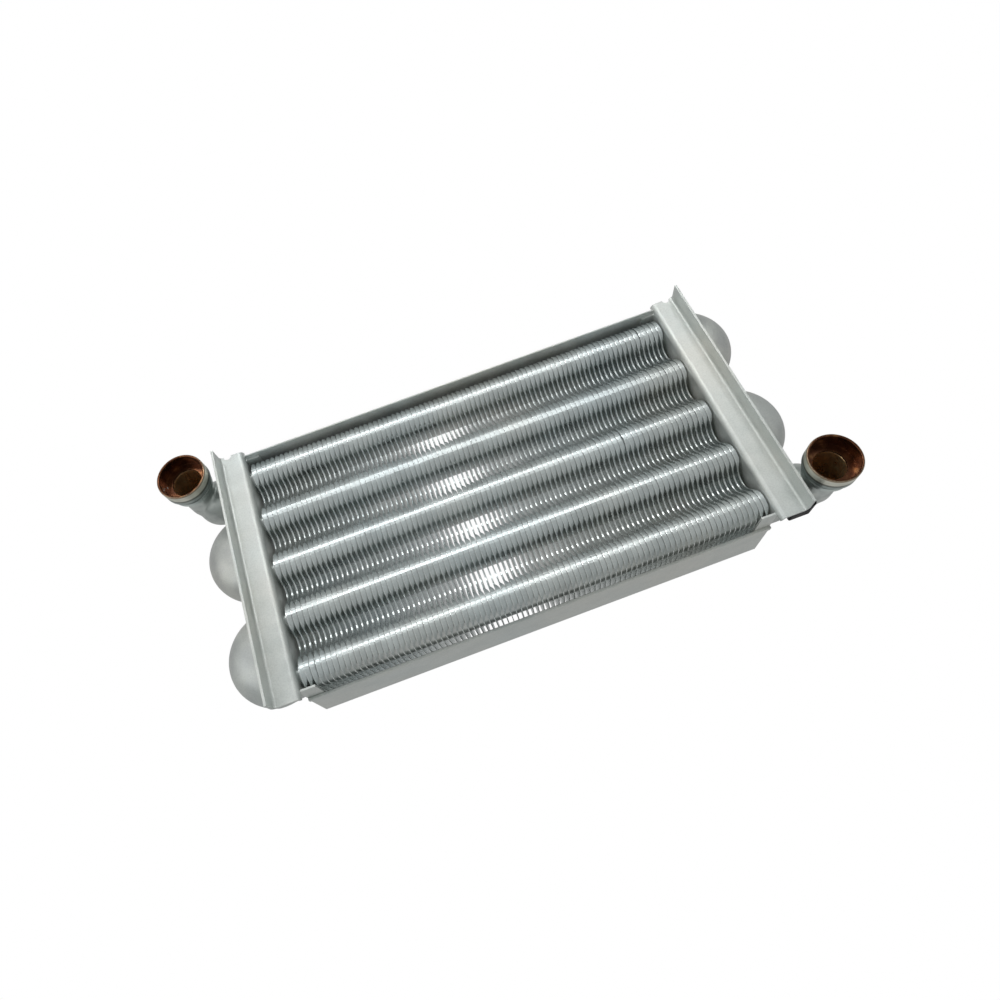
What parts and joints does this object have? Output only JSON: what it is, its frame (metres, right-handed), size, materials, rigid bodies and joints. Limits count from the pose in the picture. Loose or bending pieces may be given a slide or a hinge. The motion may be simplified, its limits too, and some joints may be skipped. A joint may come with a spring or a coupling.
{
  "type": "finned tube boiler heat exchanger",
  "caption": "Finned-tube gas-to-water heat exchanger for a wall-hung boiler: oval tubes through thin fins, folded end plates, return caps and upturned elbow ports.",
  "frame": {"origin": "centre of the block's footprint on its flue side, midway between the two elbow ports", "axes": "+X along the water tubes towards the right-hand elbow, +Y towards the rear long side with the flange notches, +Z from the flue side towards the burner side that the lobed fin edges face"},
  "size_m": [0.3104, 0.135, 0.0613],
  "materials": {
    "fin_metal": "satin aluminised coating over thin copper sheet",
    "plate_metal": "satin aluminised coating over folded copper sheet",
    "cap_metal": "satin aluminised coating over pressed copper",
    "tube_copper": "drawn copper tube, dull",
    "turbulator_steel": "folded stainless strip",
    "collar_copper": "copper, oxidised inside, silver coating sprayed over the outside",
    "seal_rubber": "black moulded rubber"
  },
  "bodies": {
    "root": {"fins": "fin_metal", "tube_1": "tube_copper", "turbulator_1": "turbulator_steel", "tube_2": "tube_copper", "turbulator_2": "turbulator_steel", "tube_3": "tube_copper", "turbulator_3": "turbulator_steel", "tube_4": "tube_copper", "turbulator_4": "turbulator_steel", "tube_5": "tube_copper", "turbulator_5": "turbulator_steel", "end_plate_left": "plate_metal", "elbow_left": "cap_metal", "mouth_collar_left": "collar_copper", "end_plate_right": "plate_metal", "elbow_right": "cap_metal", "mouth_collar_right": "collar_copper", "side_plate_front": "plate_metal", "side_plate_rear": "plate_metal", "return_cap_right_rear": "cap_metal", "return_cap_left_rear": "cap_metal", "return_cap_right_front": "cap_metal", "return_cap_left_front": "cap_metal", "corner_seal": "seal_rubber"}
  },
  "joints": []
}
